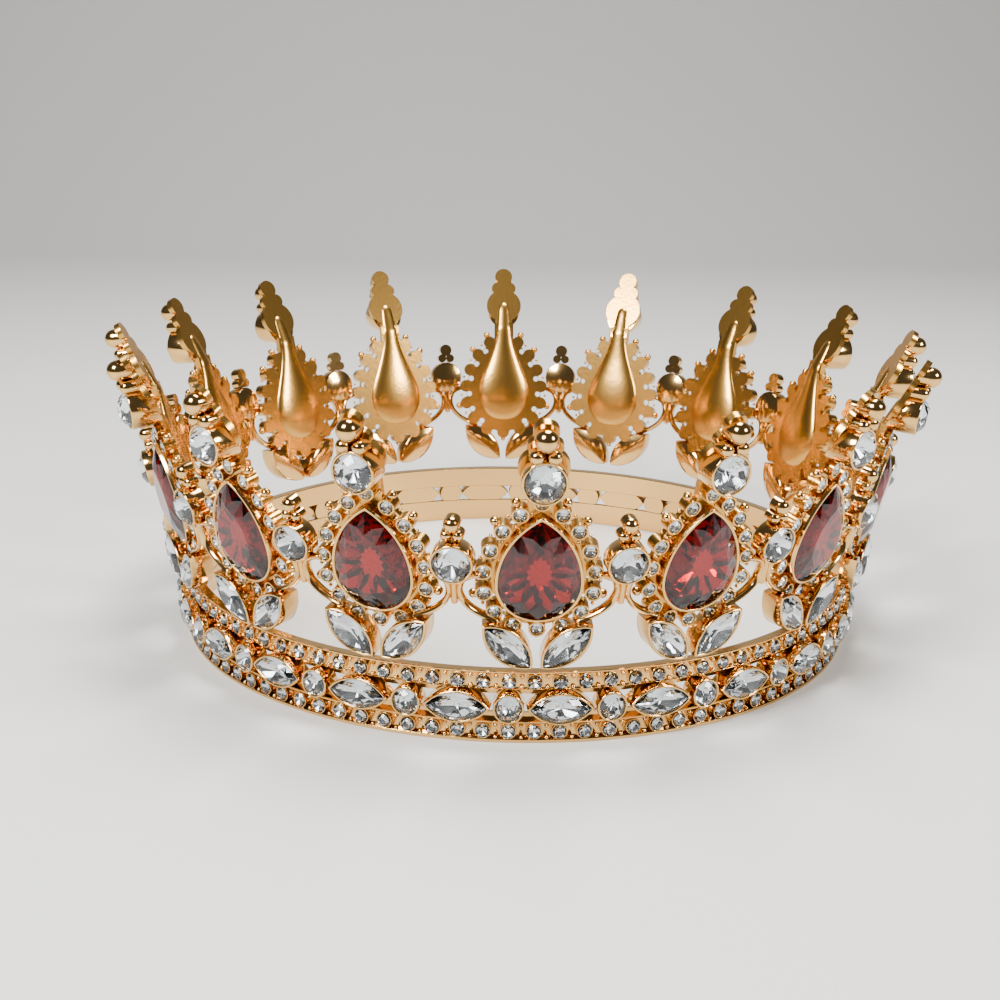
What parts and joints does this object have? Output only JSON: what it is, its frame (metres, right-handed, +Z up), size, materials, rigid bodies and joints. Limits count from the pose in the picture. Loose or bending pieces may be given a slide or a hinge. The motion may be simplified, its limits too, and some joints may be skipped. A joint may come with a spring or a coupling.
{
  "type": "full round crown with drop stones",
  "caption": "Rigid full-round gold-plated costume crown: pear-shaped red stones in clear-stone halos on points, scroll links between them, on a two-rail stone-set band",
  "frame": {"origin": "centre of the band on the plane that the crown stands on, straight below the middle of the ring", "axes": "+Z up along the crown's axis, -Y out through the middle of point_01, +X to the right of someone facing point_01"},
  "size_m": [0.1586, 0.1586, 0.0575],
  "materials": {
    "gold": "polished pale gold plating on cast alloy, satin on the inside",
    "red_crystal": "faceted red glass, foil-backed",
    "clear_crystal": "faceted clear glass, silver foil behind"
  },
  "bodies": {
    "root": {"lower_rail": "gold", "upper_rail": "gold", "band_navette_cups": "gold", "band_round_cups": "gold", "leaf_cups": "gold", "point_01": "gold", "point_02": "gold", "point_03": "gold", "point_04": "gold", "point_05": "gold", "point_06": "gold", "point_07": "gold", "point_08": "gold", "point_09": "gold", "point_10": "gold", "point_11": "gold", "point_12": "gold", "point_13": "gold", "point_14": "gold", "point_15": "gold", "point_16": "gold", "link_01": "gold", "link_02": "gold", "link_03": "gold", "link_04": "gold", "link_05": "gold", "link_06": "gold", "link_07": "gold", "link_08": "gold", "link_09": "gold", "link_10": "gold", "link_11": "gold", "link_12": "gold", "link_13": "gold", "link_14": "gold", "link_15": "gold", "link_16": "gold", "drop_stone_01": "red_crystal", "drop_stone_02": "red_crystal", "drop_stone_03": "red_crystal", "drop_stone_04": "red_crystal", "drop_stone_05": "red_crystal", "drop_stone_06": "red_crystal", "drop_stone_07": "red_crystal", "drop_stone_08": "red_crystal", "drop_stone_09": "red_crystal", "drop_stone_10": "red_crystal", "drop_stone_11": "red_crystal", "drop_stone_12": "red_crystal", "drop_stone_13": "red_crystal", "drop_stone_14": "red_crystal", "drop_stone_15": "red_crystal", "drop_stone_16": "red_crystal", "crest_stones": "clear_crystal", "link_stones": "clear_crystal", "leaf_stones": "clear_crystal", "band_stones": "clear_crystal", "rail_stones": "clear_crystal", "halo_stones": "clear_crystal"}
  },
  "joints": []
}
